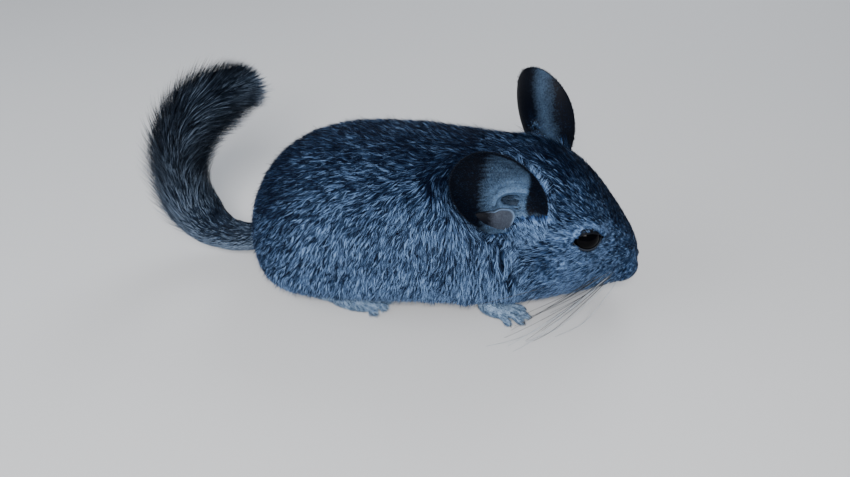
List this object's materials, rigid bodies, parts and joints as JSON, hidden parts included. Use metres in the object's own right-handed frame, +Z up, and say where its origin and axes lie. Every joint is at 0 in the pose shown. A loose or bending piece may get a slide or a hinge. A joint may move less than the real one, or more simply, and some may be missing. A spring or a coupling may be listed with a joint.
{
  "type": "chinchilla",
  "caption": "Life-size chinchilla crouched on the floor with its nose low, one ear swept back, one upright, and a bushy tail curled up over the rump.",
  "frame": {"origin": "centre of the bounding box at floor level, under the body", "axes": "+X towards the nose, +Y towards the animal's left side, +Z up"},
  "size_m": [0.2634, 0.0948, 0.1245],
  "materials": {
    "coat": "soft dense fur, dark slate grey with pale grey tips",
    "pale_coat": "short whitish grey hair",
    "tail_coat": "coarse grey bristles",
    "ear_skin": "thin grey skin with down",
    "eye": "wet black"
  },
  "bodies": {
    "root": {"head": "coat", "neck": "coat", "torso": "coat", "thigh_right": "coat", "thigh_left": "coat", "upper_arm_right": "coat", "upper_arm_left": "coat", "forepaw_right": "pale_coat", "forepaw_left": "pale_coat", "hindpaw_right": "pale_coat", "hindpaw_left": "pale_coat", "ear_right": "ear_skin", "ear_left": "ear_skin", "eye_right": "eye", "eye_left": "eye", "tail_root": "tail_coat", "tail_middle": "tail_coat", "tail_tip": "tail_coat"}
  },
  "joints": []
}
